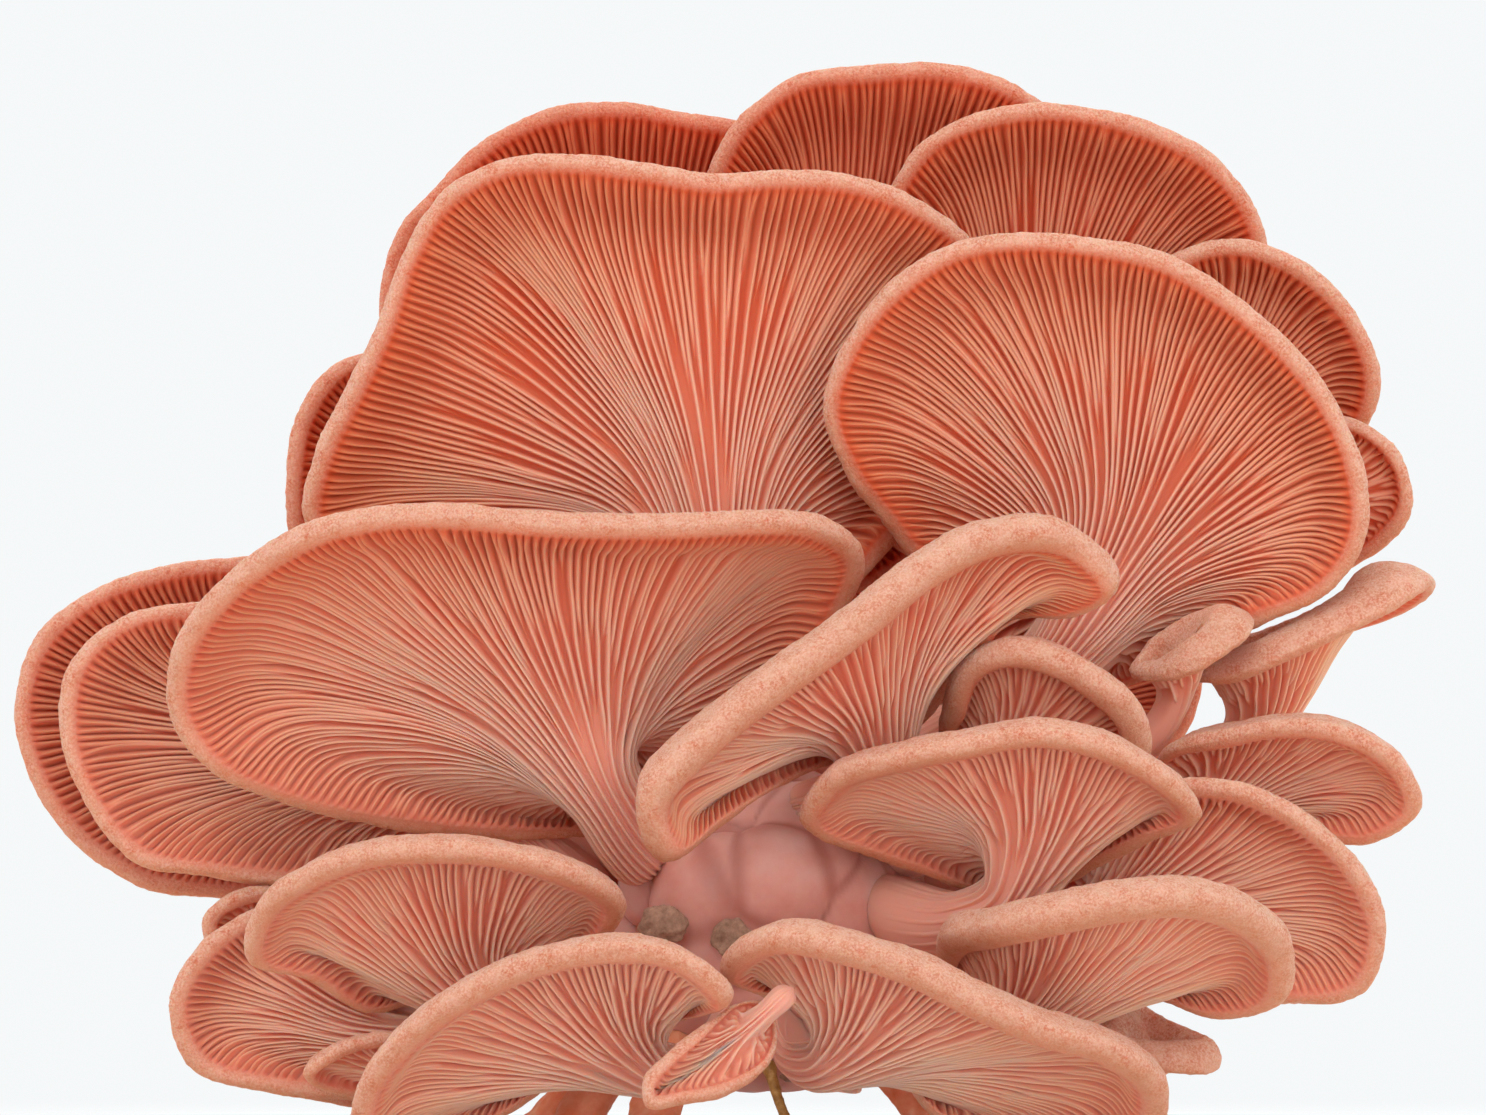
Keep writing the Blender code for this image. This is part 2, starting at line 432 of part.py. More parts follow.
def bed_crumb(name, centre, radii):
    """A rounded crumb of the bed."""
    around, levels = 9, 5
    rings = []
    for level in range(levels + 1):
        tilt = math.pi * level / levels
        turns = 1 if level in (0, levels) else around
        angle = 2 * math.pi * np.arange(turns) / turns + level
        rough = 1 + 0.14 * np.sin(3.1 * angle + 2.3 * level)
        way = np.stack(
            [np.sin(tilt) * np.cos(angle), np.sin(tilt) * np.sin(angle), np.full(turns, -np.cos(tilt))],
            axis=1,
        )
        rings.append(np.array(centre) + way * np.array(radii) * rough[:, None])
    return Piece(name, np.concatenate(rings), ring_faces(rings), BED_BROWN)


def straw():
    """A stalk of the straw bed, still caught under the base."""
    sides = 8
    route = np.array(STRAW)
    angle = 2 * math.pi * np.arange(sides) / sides
    heading = unit(route[-1] - route[0])
    side = unit(np.cross(heading, (0, 1, 0)))
    other = np.cross(heading, side)
    circle = np.outer(np.cos(angle), side) + np.outer(np.sin(angle), other)
    rings = [(route[0] - heading * 0.3)[None]]
    rings += [point + circle * STRAW_RADIUS * (1.15 if k % 2 else 1.0) for k, point in enumerate(route)]
    rings.append((route[-1] + heading * 0.3)[None])
    return Piece("straw_stalk", np.concatenate(rings), ring_faces(rings), STRAW_BROWN)


def contacts(piece, other, tree):
    """Where piece comes nearer to other than GAP: the places, and the pushes that clear them."""
    low, high = other.box()
    probes = piece.probes()
    near = probes[((probes > low - 1) & (probes < high + 1)).all(axis=1)]
    places, pushes = [], []
    for probe in near:
        spot, normal, _, distance = tree.find_nearest(Vector(probe), 4.0)
        if spot is None:
            continue
        signed = distance if (Vector(probe) - spot).dot(normal) > 0 else -distance
        if signed < GAP:
            places.append(probe)
            pushes.append(np.array(normal) * (GAP + 0.1 - signed))
    return places, pushes


def give_way(piece, places, pushes, softness):
    """Moves the points round each contact, so that a cap bends as a whole and keeps its thickness."""
    places, pushes = np.array(places), np.array(pushes)
    apart = ((piece.points[:, None] - places[None]) ** 2).sum(axis=2)
    weight = np.exp(-apart / (2 * softness**2))
    share = weight / np.maximum(weight.sum(axis=1, keepdims=True), 1)
    piece.points = piece.points + share @ pushes
    piece.points[piece.on_ground, 2] = 0


def press_apart(pieces, rounds, softness=5.0):
    """Neighbours that touch bend away from each other, each by half, until there is air between them."""
    for _ in range(rounds):
        trees = {piece.name: piece.tree() for piece in pieces}
        found = {piece.name: ([], []) for piece in pieces}
        touching = 0
        for piece in pieces:
            for other in pieces:
                if piece is other:
                    continue
                (low, high), (other_low, other_high) = piece.box(), other.box()
                if (low > other_high + 1).any() or (other_low > high + 1).any():
                    continue
                places, pushes = contacts(piece, other, trees[other.name])
                touching += len(places)
                share = 1.0 if other.fixed else 0.5
                found[piece.name][0].extend(places)
                found[piece.name][1].extend([push * share for push in pushes])
                if not piece.fixed:
                    found[other.name][0].extend(places)
                    found[other.name][1].extend([-push * 0.5 for push in pushes])
        if not touching:
            return
        for piece in pieces:
            if found[piece.name][0] and not piece.fixed:
                give_way(piece, *found[piece.name], softness)


def object_of(piece, shift):
    """The piece, moved by shift, as a Blender object with its own material."""
    mesh = bpy.data.meshes.new(piece.name)
    mesh.from_pydata(((piece.points + shift) * MM).tolist(), [], piece.faces.tolist())
    mesh.shade_smooth()
    material = bpy.data.materials.new(piece.name)
    material.use_nodes = True
    shader = material.node_tree.nodes["Principled BSDF"]
    shader.inputs["Base Color"].default_value = (*piece.colour, 1)
    shader.inputs["Roughness"].default_value = 0.75
    shader.inputs["Metallic"].default_value = 0.0
    mesh.materials.append(material)
    made = bpy.data.objects.new(piece.name, mesh)
    bpy.context.scene.collection.objects.link(made)
    return made


def main():
    for old in list(bpy.data.objects):
        bpy.data.objects.remove(old)
    base = lumpy_base()
    grown = [mushroom_piece(mushroom) for mushroom in MUSHROOMS]
    feet = [cut_stem(*row) for row in CUT_STEMS]
    bits = [bed_crumb(*row) for row in CRUMBS] + [straw()]
    pieces = [base, *grown, *feet, *bits]
    press_apart(pieces, rounds=40)
    low = np.min([piece.box()[0] for piece in pieces], axis=0)
    high = np.max([piece.box()[1] for piece in pieces], axis=0)
    shift = (low + high) * (-0.5, -0.5, 0)
    for piece in pieces:
        object_of(piece, shift)


main()
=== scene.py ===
"""The looks of the pink oyster mushroom cluster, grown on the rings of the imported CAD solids.

Each mushroom of the frame is a stack of rings from the stem's tip, over the gills and the rolled margin,
to the crown of the cap. This script reads those rings back, smooths them into one closed skin, raises the
gills on it as real ridges, and felts the other side. Lengths here are in metres unless a name says _MM.
"""

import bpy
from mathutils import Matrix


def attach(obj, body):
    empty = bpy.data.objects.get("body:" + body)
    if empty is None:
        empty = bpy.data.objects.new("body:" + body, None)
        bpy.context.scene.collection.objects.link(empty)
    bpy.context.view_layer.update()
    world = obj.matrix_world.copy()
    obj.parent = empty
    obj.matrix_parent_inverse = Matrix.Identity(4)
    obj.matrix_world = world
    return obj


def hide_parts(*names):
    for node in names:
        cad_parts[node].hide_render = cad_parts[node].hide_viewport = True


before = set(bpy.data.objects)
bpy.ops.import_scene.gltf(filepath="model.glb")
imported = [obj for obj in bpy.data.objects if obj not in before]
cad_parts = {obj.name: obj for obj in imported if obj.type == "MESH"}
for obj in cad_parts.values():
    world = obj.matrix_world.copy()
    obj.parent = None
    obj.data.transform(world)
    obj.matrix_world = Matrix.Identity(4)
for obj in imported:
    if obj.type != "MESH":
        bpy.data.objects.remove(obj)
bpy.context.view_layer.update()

import math

import bpy
import numpy as np
from mathutils import Vector

MM = 0.001
ROOT = "root"
MOST_TRIANGLES = 196_000  # in one piece

# Gills
GILL_SPACING = 1.12 * MM  # between gills at the margin
GILL_HEIGHT = 1.5 * MM  # on a large cap
GILL_PROUD = 0.25 * MM  # how far a gill's edge stands out of the CAD face
GILL_HALF_THICKNESS = 0.38 * MM
COLUMNS_PER_GILL = 4
COLUMN_OFFSETS = np.array([-0.5, -0.2, 0.0, 0.2])  # in gill spacings: valley, flank, edge, flank
MARGIN_FADE = 2.2 * MM  # the gills run out this far before the margin's edge

# Rings of a mushroom, counted from the one above the stem's tip
LOW, HALF_WAY, NECK, MARGIN, CREST, LAST = 0, 1, 2, 6, 9, 11
# Rows of the fine skin between rings: (from, to, rows)
STEM_ROWS = ((-1, LOW, 4), (LOW, HALF_WAY, 9), (HALF_WAY, NECK, 9))
GILL_ROWS = 46
ROWS_CROWD = 1.25  # above 1, the rows lie closer together towards the margin
BAND_ROWS = 12
SKIN_ROWS = ((CREST, 10, 12), (10, LAST, 7), (LAST, 12, 9))

# Gill lengths: (every how many gills, which of them, where they begin on the way from neck to margin)
SHORT_GILLS = ((2, 1, 0.52), (4, 2, 0.26), (8, 4, 0.06))
WHOLE_GILL = -9  # begins far below the neck, so it runs down the whole stem
GROWING_SHARE = 0.16  # of the way to the margin, over which a gill reaches its full height
WIDEST_GILL, NARROWEST_GILL = 2.6, 0.34  # half a gill's thickness, in gill spacings
FULL_SIZE = 150 * MM  # length round the margin of a cap whose gills are full height

ROOT_REACH = 3.0 * MM  # how far a stem runs on into the base
FOOT_CALM = 2 * MM  # a cut stem's relief dies out over this height above its flat foot
LUMPS = 46  # swellings of the base
FUZZ = ((0.55 * MM, 0.10 * MM, 3), (1.3 * MM, 0.08 * MM, 4), (7 * MM, 0.30 * MM, 5), (3 * MM, 0.12 * MM, 6))
BODY_RINGS = {"mushroom": 12, "base": 10, "stem": 5, "crumb": 4, "straw": 4}

RNG_SEED = 20


def linear(red, green, blue):
    """A colour from 0-255 screen values to the shader's linear ones."""
    return tuple(
        c / 12.92 if c <= 0.04045 else ((c + 0.055) / 1.055) ** 2.4
        for c in (red / 255, green / 255, blue / 255)
    ) + (1.0,)


STRAW_STOPS = [(0.3, linear(150, 108, 52)), (0.6, linear(196, 152, 84)), (0.8, linear(222, 186, 120))]
BED_STOPS = [(0.3, linear(140, 104, 84)), (0.55, linear(172, 132, 108)), (0.8, linear(198, 158, 132))]

# The stage, in metres: the floor is whole out to FLOOR_SOLID and gone at FLOOR_GONE
FLOOR_REACH, FLOOR_SOLID, FLOOR_GONE = 3.0, 0.12, 0.5
# Lamps: name, place, size in metres, power in watts
LAMPS = (
    ("key", (-0.4, -1.5, 1.6), 1.2, 10),
    ("fill", (0.6, -1.6, 0.2), 1.2, 4),
    ("back", (0.2, 1.4, 1.2), 1.5, 10),
)
LIT_POINT = (0, 0, 0.07)
CAMERA_X, CAMERA_DISTANCE, CAMERA_Z = 0.0030, 4.0, 0.081
SENSOR = 36  # millimetres
SEEN_WIDTH = 0.1981  # width that the camera sees at the cluster's middle


# Reading the rings back from a CAD node


def welded(node):
    """The node's corner points, each once, and its triangles on them."""
    mesh = node.data
    points = np.zeros(len(mesh.vertices) * 3)
    mesh.vertices.foreach_get("co", points)
    keys = np.round(points.reshape(-1, 3) / 2e-6).astype(np.int64)
    _, first, back = np.unique(keys, axis=0, return_index=True, return_inverse=True)
    mesh.calc_loop_triangles()
    triangles = np.zeros(len(mesh.loop_triangles) * 3, int)
    mesh.loop_triangles.foreach_get("vertices", triangles)
    return points.reshape(-1, 3)[first], back.reshape(-1)[triangles].reshape(-1, 3)


def neighbours(count, triangles):
    around = [set() for _ in range(count)]
    for a, b, c in triangles:
        around[a] |= {b, c}
        around[b] |= {a, c}
        around[c] |= {a, b}
    return around


def walk(layer, around):
    """The points of one ring in order."""
    layer = set(layer)
    start = min(layer)
    ring, previous = [start], None
    while len(ring) < len(layer):
        here = ring[-1]
        onwards = [p for p in around[here] & layer if p != previous and p not in ring[1:]]
        onwards = [p for p in onwards if p != start]
        if not onwards:
            break
        previous = here
        ring.append(min(onwards))
    return ring


def rings_of(node, rings_in_all):
    """The node's rings as a (ring, side, 3) array, then its first and last tips. A mushroom's stem comes
    first. A solid cut off flat has no last tip: its foot's ring comes last."""
    points, triangles = welded(node)
    around = neighbours(len(points), triangles)
    degrees = np.array([len(a) for a in around])
    sides = (len(points) - 1) // rings_in_all
    ends = [i for i in np.argsort(-degrees, kind="stable")[:2] if degrees[i] >= sides - 1]
    start = ends[0] if degrees[ends[0]] == sides else ends[-1]
    seen, layer, layers = {start}, {start}, []
    for _ in range(rings_in_all):
        layer = set().union(*(around[p] for p in layer)) - seen
        seen |= layer
        layers.append(sorted(layer))
    flat_foot = len(seen) == len(points)
    rings = [points[walk(found, around)] for found in layers[: -1 if flat_foot else None]]
    if flat_foot:
        rings.append(round_foot(points[layers[-1]]))
    for k in range(1, len(rings)):
        rings[k] = lined_up(rings[k - 1], rings[k])
    if flat_foot:
        return np.array(rings), points[start], None
    other = next(i for i in range(len(points)) if i not in seen)
    tips = points[start], points[other]
    if rings_in_all > NECK + CREST and length_round(rings[NECK]) > length_round(rings[-1 - NECK]):
        return np.array(rings[::-1]), tips[1], tips[0]
    return np.array(rings), tips[0], tips[1]


def length_round(ring):
    return np.linalg.norm(np.roll(ring, -1, axis=0) - ring, axis=1).sum()


def round_foot(points):
    """A flat foot's corners in order round their middle."""
    arms = points - points.mean(axis=0)
    return points[np.argsort(np.arctan2(arms[:, 1], arms[:, 0]))]


def lined_up(below, ring):
    """The ring turned, and reversed if need be, so that its points lie over those of the ring below."""
    best = None
    for way in (ring, ring[::-1]):
        for turn in range(len(ring)):
            tried = np.roll(way, turn, axis=0)
            miss = ((tried - below) ** 2).sum()
            if best is None or miss < best[0]:
                best = (miss, tried)
    return best[1]


# Smoothing the rings into a fine skin


def along_rings(stack, knots, places):
    """Points between the rings of a stack, on smooth curves from ring to ring: (place, side, 3)."""
    steps = np.diff(knots)
    run = np.diff(stack, axis=0) / steps[:, None, None]
    slopes = np.empty_like(stack)
    slopes[0], slopes[-1] = run[0], run[-1]
    weight = (steps[1:] / (steps[1:] + steps[:-1]))[:, None, None]
    slopes[1:-1] = weight * run[:-1] + (1 - weight) * run[1:]
    k = np.clip(np.searchsorted(knots, places, side="right") - 1, 0, len(steps) - 1)
    h = steps[k][:, None, None]
    t = ((places - knots[k]) / steps[k])[:, None, None]
    return (
        (2 * t**3 - 3 * t**2 + 1) * stack[k]
        + (t**3 - 2 * t**2 + t) * h * slopes[k]
        + (3 * t**2 - 2 * t**3) * stack[k + 1]
        + (t**3 - t**2) * h * slopes[k + 1]
    )


def around_rings(rows, turns):
    """Points round each row's closed curve at turns, in sides: (row, column, 3)."""
    sides = rows.shape[1]
    start = np.floor(turns).astype(int)
    t = (turns - start)[..., None]
    index = np.arange(len(rows))[:, None]
    before, here, after, beyond = (rows[index, (start + k) % sides] for k in (-1, 0, 1, 2))
    return 0.5 * (
        2 * here
        + (after - before) * t
        + (2 * before - 5 * here + 4 * after - beyond) * t**2
        + (3 * here - before - 3 * after + beyond) * t**3
    )


def normals_of(grid):
    """Unit normals of a grid that closes round its columns."""
    across = np.roll(grid, -3, axis=1) - np.roll(grid, 3, axis=1)
    onwards = np.gradient(grid, axis=0)
    normal = np.cross(across, onwards)
    return normal / np.maximum(np.linalg.norm(normal, axis=2, keepdims=True), 1e-15)


def smooth_step(low, high, values):
    t = np.clip((values - low) / (high - low), 0, 1)
    return t * t * (3 - 2 * t)


def lattice_noise(points, size, seed):
    """Smooth noise from -1 to 1 with cells of that size."""
    cell = points / size
    base = np.floor(cell).astype(np.int64)
    t = cell - base
    t = t * t * (3 - 2 * t)
    total = np.zeros(points.shape[:-1])
    for corner in range(8):
        offset = np.array([corner & 1, (corner >> 1) & 1, corner >> 2])
        key = base + offset
        mixed = key[..., 0] * 73856093 ^ key[..., 1] * 19349663 ^ key[..., 2] * 83492791 ^ seed * 2654435
        mixed = (mixed ^ (mixed >> 13)) * 1274126177
        value = ((mixed >> 8) & 0xFFFF) / 32767.5 - 1
        weight = np.where(offset, t, 1 - t).prod(axis=-1)
        total += weight * value
    return total


# Meshes


def tube_triangles(rows, columns, first=0):
    """Triangles of a grid that closes round its columns."""
    r, c = np.meshgrid(np.arange(rows - 1), np.arange(columns), indexing="ij")
    a = first + r * columns + c
    b = first + r * columns + (c + 1) % columns
    return np.concatenate(
        [
            np.stack([a, b, b + columns], axis=-1).reshape(-1, 3),
            np.stack([a, b + columns, a + columns], axis=-1).reshape(-1, 3),
        ]
    )


def fan_triangles(tip, first, columns, flip):
    c = np.arange(columns)
    a, b = first + c, first + (c + 1) % columns
    tip = np.full(columns, tip)
    return np.stack([tip, b, a] if flip else [tip, a, b], axis=-1)


def halved_seam(first_fine, first_coarse, coarse):
    """Triangles between a row of columns and a row with half as many."""
    c = np.arange(coarse)
    a, m = first_fine + 2 * c, first_fine + 2 * c + 1
    b = first_fine + (2 * c + 2) % (2 * coarse)
    p, q = first_coarse + c, first_coarse + (c + 1) % coarse
    return np.concatenate([np.stack(t, axis=-1) for t in ([a, m, p], [m, q, p], [m, b, q])])


def new_piece(name, points, triangles, material, nodes, layers=None, uvs=None):
    """A closed, smooth mesh with its named point layers, that rides on the root and replaces nodes."""
    corner = points[triangles]
    signed = np.einsum("ij,ij->", corner[:, 0], np.cross(corner[:, 1], corner[:, 2]))
    if signed < 0:
        triangles = triangles[:, ::-1]
    mesh = bpy.data.meshes.new(name)
    mesh.vertices.add(len(points))
    mesh.vertices.foreach_set("co", points.ravel())
    mesh.loops.add(triangles.size)
    mesh.loops.foreach_set("vertex_index", triangles.ravel())
    mesh.polygons.add(len(triangles))
    mesh.polygons.foreach_set("loop_start", np.arange(0, triangles.size, 3))
    mesh.polygons.foreach_set("loop_total", np.full(len(triangles), 3))
    mesh.update(calc_edges=True)
    mesh.shade_smooth()
    for layer, values in (layers or {}).items():
        mesh.attributes.new(layer, "FLOAT", "POINT").data.foreach_set("value", values.ravel())
    if uvs is not None:
        corners = uvs[triangles]
        wraps = corners[..., 0].max(axis=1) - corners[..., 0].min(axis=1) > 0.5
        corners[..., 0] += wraps[:, None] & (corners[..., 0] < 0.5)
        corners[..., 0] *= 0.995
        mesh.uv_layers.new(name="OFBake").data.foreach_set("uv", corners.ravel())
    mesh.materials.append(material)
    piece = bpy.data.objects.new(name, mesh)
    bpy.context.scene.collection.objects.link(piece)
    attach(piece, ROOT)
    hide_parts(*nodes)
    return piece


# The mushrooms


def row_places(knots):
    """Where the rows of the fine skin lie, first the gilled rows, then the felted ones."""
    at_ring = knots[1:]
    gilled = []
    for start, end, count in STEM_ROWS:
        rows = np.linspace(knots[start + 1], at_ring[end], count, endpoint=False)
        gilled.extend(rows[1 if start < 0 else 0 :])
    share = np.linspace(0, 1, GILL_ROWS)
    gilled.extend(at_ring[NECK] + (at_ring[MARGIN] - at_ring[NECK]) * (1 - (1 - share) ** ROWS_CROWD))
    felted = list(np.linspace(at_ring[MARGIN], at_ring[CREST], BAND_ROWS + 1)[1:])
    for start, end, count in SKIN_ROWS:
        felted.extend(np.linspace(at_ring[start], at_ring[end], count + 1)[1:])
    return np.array(gilled), np.array(felted[:-1])


def gill_starts(count, rng):
    """How far from the neck each gill begins, as a share of the way to the margin: whole gills run down
    the stem, and shorter and shorter ones come in between."""
    index = np.arange(count)
    start = np.full(count, float(WHOLE_GILL))
    for every, which, begins in SHORT_GILLS:
        start[index % every == which] = begins
    return start + rng.normal(0, 0.09, count) * (start > 0)


def sway(count, rows, rng):
    """How far each gill strays sideways along its length, in gill spacings: (row, gill)."""
    v = np.linspace(0, 1, rows)[:, None]
    stray = np.zeros((rows, count))
    for waves in (1.3, 2.9, 6.1):
        stray += rng.normal(0, 0.20 / waves, count) * np.sin(2 * math.pi * (waves * v + rng.random(count)))
    turn = 2 * math.pi * np.arange(count) / count
    for waves in (3, 7, 12):
        stray += 0.9 / waves * np.sin(waves * turn + 2.5 * v * math.pi + rng.random() * 9) * v
    return stray * np.clip(3 * v, 0, 1)


def raised_gills(centres, columns_at, starts, v, spacing):
    """How much of a whole gill's height stands at each (row, column)."""
    count = len(starts)
    nearest = np.round(columns_at).astype(int)
    half = np.clip(GILL_HALF_THICKNESS / np.maximum(spacing, 1e-5), NARROWEST_GILL, WIDEST_GILL)
    best = np.zeros_like(columns_at)
    rows = np.arange(len(v))[:, None]
    for step in range(-3, 4):
        gill = (nearest + step) % count
        apart = columns_at - centres[rows, gill]
        apart -= count * np.round(apart / count)
        grown = smooth_step(0, GROWING_SHARE, v[:, None] - starts[gill])
        width = half * (0.55 + 0.45 * grown)
        ridge = np.clip((1 - np.abs(apart) / width) / 0.72, 0, 1)
        best = np.maximum(best, grown * ridge * (3 - ridge) / 2)
    return best


def rooted(rings, tip):
    """The rings and tip with the stem's end pushed on into the base."""
    heading = tip - rings[HALF_WAY].mean(axis=0)
    heading /= np.linalg.norm(heading)
    rings[LOW] += heading * ROOT_REACH * 0.8
    return rings, tip + heading * ROOT_REACH


def knotted(stack):
    """How far along the solid each ring of a stack lies, on average round it."""
    steps = np.linalg.norm(np.diff(stack, axis=0), axis=2).mean(axis=1)
    return np.concatenate([[0], np.cumsum(steps)])


def gill_count(perimeter, rows_in_all):
    """How many gills reach the margin: a multiple of 8, within the piece's limit on triangles."""
    most = MOST_TRIANGLES // (rows_in_all * COLUMNS_PER_GILL)
    return int(min(perimeter / GILL_SPACING, most)) // 8 * 8


def gill_columns(count, rows, rng):
    """Where each gill's edge lies, and where each column of the skin lies, both in gills."""
    stray = sway(count, rows, rng)
    shared = 0.5 * (stray + np.roll(stray, 1, axis=1))
    at = np.arange(count)[None, :, None] + COLUMN_OFFSETS
    at = at + np.where(COLUMN_OFFSETS == -0.5, shared[..., None], stray[..., None])
    return np.arange(count) + stray, at.reshape(rows, count * COLUMNS_PER_GILL)


def gill_height(rings, perimeter):
    """Smaller and thinner caps have lower gills."""
    flesh = np.linalg.norm(rings[10] - rings[5], axis=1).mean()
    size = min(1.0, perimeter / FULL_SIZE)
    return min(GILL_HEIGHT * (0.45 + 0.55 * size), 0.42 * flesh)


def gill_fade(v, to_margin):
    """The gills run out at the margin, and get lower down the stem."""
    fade = smooth_step(0, MARGIN_FADE, to_margin) * smooth_step(-1.0, 0.05, v)[:, None]
    return fade * (0.35 + 0.65 * smooth_step(-0.6, 0.45, v))[:, None]


def felted_skin(skin, outwards):
    """The felted rows, roughened; the roughness sets in over the first four rows past the margin."""
    fuzz = 0
    for size, height, seed in FUZZ:
        fuzz = fuzz + height * lattice_noise(skin, size, seed)
    settled = smooth_step(0, 1, np.arange(1, len(skin) + 1) / 4)[:, None]
    return skin + outwards * (fuzz * settled)[..., None]


def skin_triangles(gilled_rows, felted_rows, columns):
    """The triangles of a whole mushroom, whose felted rows have half as many columns as its gilled ones.
    The stem's tip and the crown are the last two points."""
    coarse = columns // 2
    first_skin = gilled_rows * columns
    last_row = first_skin + (felted_rows - 1) * coarse
    tip_index = first_skin + felted_rows * coarse
    return np.concatenate(
        [
            tube_triangles(gilled_rows, columns),
            halved_seam(first_skin - columns, first_skin, coarse),
            tube_triangles(felted_rows, coarse, first_skin),
            fan_triangles(tip_index, 0, columns, flip=True),
            fan_triangles(tip_index + 1, last_row, coarse, flip=False),
        ]
    )


def mushroom(node_name, material, rng):
    """One mushroom's closed skin, gilled and felted."""
    rings, tip, crown = rings_of(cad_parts[node_name], BODY_RINGS["mushroom"])
    rings, tip = rooted(rings, tip)
    sides = rings.shape[1]
    ends = [np.repeat(end[None, None], sides, 1) for end in (tip, crown)]
    stack = np.concatenate([ends[0], rings, ends[1]])
    knots = knotted(stack)
    gilled, felted = row_places(knots)
    perimeter = length_round(rings[MARGIN])
    count = gill_count(perimeter, 2 * len(gilled) + len(felted))
    columns = count * COLUMNS_PER_GILL
    v = (gilled - knots[NECK + 1]) / (knots[MARGIN + 1] - knots[NECK + 1])

    starts = gill_starts(count, rng)
    centres, at = gill_columns(count, len(gilled), rng)
    face = around_rings(along_rings(stack, knots, gilled), at * sides / count)
    normal = normals_of(face)
    spacing = np.linalg.norm(np.roll(face, -2, axis=1) - np.roll(face, 2, axis=1), axis=2)
    ridge = raised_gills(centres, at, starts, v, spacing)
    height = gill_height(rings, perimeter)
    to_margin = left_to_go(face)
    fade = gill_fade(v, to_margin)
    rise = height * fade * ridge + (GILL_PROUD - height * 0.92) * fade

    turns = np.arange(columns // 2) * 2 * sides / columns - 0.5 * sides / count
    skin = around_rings(along_rings(stack, knots, felted), np.tile(turns, (len(felted), 1)))
    whole = np.concatenate([face[:, ::2], skin])
    outwards = normals_of(whole)
    sign = outward_sign(whole, outwards)
    face = face + sign * normal * rise[..., None]
    skin = felted_skin(skin, sign * outwards[len(face) :])

    points = np.concatenate([face.reshape(-1, 3), skin.reshape(-1, 3), tip[None], crown[None]])
    triangles = skin_triangles(len(gilled), len(felted), columns)
    all_felt = np.ones((len(felted), columns // 2))
    band = (felted - knots[MARGIN + 1]) / (knots[CREST + 1] - knots[MARGIN + 1])
    layers = {
        "ridge": joined(ridge * fade, all_felt, 0, 1),
        "along": joined(np.clip(v, -0.5, 1)[:, None] * np.ones(columns), all_felt, -0.5, 1),
        "felt": joined(
            smooth_step(0.8 * MM, 0.0, to_margin) * 0.5,
            np.clip(0.5 + 2 * band, 0, 1)[:, None] * all_felt[0], 0, 1,
        ),
        # One value for the whole mushroom; the shader doesn't read it
        "tint": np.full(len(points), rng.uniform(-1, 1)),
    }
    uvs = np.concatenate(
        [
            grid_uvs(len(gilled), columns, 0.01, 0.68),
            grid_uvs(len(felted), columns // 2, 0.70, 0.98),
            [[0.5, 0.0], [0.5, 1.0]],
        ]
    )
    name = "mushroom_" + node_name[4:]
    return new_piece(name, points, triangles, material, [node_name], layers, uvs)


def left_to_go(face):
    """How far each point is from the last row, along its column."""
    steps = np.linalg.norm(np.diff(face, axis=0), axis=2)
    return np.concatenate([np.cumsum(steps[::-1], axis=0)[::-1], np.zeros((1, face.shape[1]))])


def joined(gilled, felted, at_tip, at_crown):
    return np.concatenate([gilled.ravel(), felted.ravel(), [at_tip, at_crown]])


def grid_uvs(rows, columns, low, high):
    r, c = np.meshgrid(np.linspace(low, high, rows), np.arange(columns) / columns, indexing="ij")
    return np.stack([c, r], axis=-1).reshape(-1, 2)


def outward_sign(grid, normals):
    """1 if the normals point out of the closed skin, or -1: the divergence of outward normals is positive."""
    across = np.roll(grid, -1, axis=1) - np.roll(grid, 1, axis=1)
    onwards = np.gradient(grid, axis=0)
    area = np.linalg.norm(np.cross(across, onwards), axis=2)
    centre = grid.reshape(-1, 3).mean(axis=0)
    return 1.0 if (((grid - centre) * normals).sum(axis=2) * area).sum() > 0 else -1.0


# Materials


def nodes_of(material):
    material.use_nodes = True
    tree = material.node_tree
    return tree, tree.nodes["Principled BSDF"]


def ramp(tree, factor, stops):
    """A colour ramp on a factor socket: stops are (position, colour)."""
    node = tree.nodes.new("ShaderNodeValToRGB")
    elements = node.color_ramp.elements
    while len(elements) < len(stops):
        elements.new(0.5)
    for element, (position, colour) in zip(elements, stops):
        element.position = position
        element.color = colour
    tree.links.new(factor, node.inputs["Fac"])
    return node.outputs["Color"]


def mixed(tree, factor, first, second, blend="MIX"):
    """A colour mix; factor, first and second are sockets or values."""
    node = tree.nodes.new("ShaderNodeMix")
    node.data_type = "RGBA"
    node.blend_type = blend
    for socket, value in ((node.inputs[0], factor), (node.inputs[6], first), (node.inputs[7], second)):
        if hasattr(value, "is_output"):
            tree.links.new(value, socket)
        else:
            socket.default_value = value
    return node.outputs[2]


def layer_value(tree, name):
    node = tree.nodes.new("ShaderNodeAttribute")
    node.attribute_name = name
    return node.outputs["Fac"]


def noise(tree, size, detail=2.0, roughness=0.5):
    """Noise with features of that size, in metres, fixed to the object."""
    place = tree.nodes.new("ShaderNodeTexCoord")
    node = tree.nodes.new("ShaderNodeTexNoise")
    node.inputs["Scale"].default_value = 1 / size
    node.inputs["Detail"].default_value = detail
    node.inputs["Roughness"].default_value = roughness
    tree.links.new(place.outputs["Object"], node.inputs["Vector"])
    return node.outputs["Fac"]


def maths(tree, operation, *values):
    node = tree.nodes.new("ShaderNodeMath")
    node.operation = operation
    for socket, value in zip(node.inputs, values):
        if hasattr(value, "is_output"):
            tree.links.new(value, socket)
        else:
            socket.default_value = value
    return node.outputs[0]


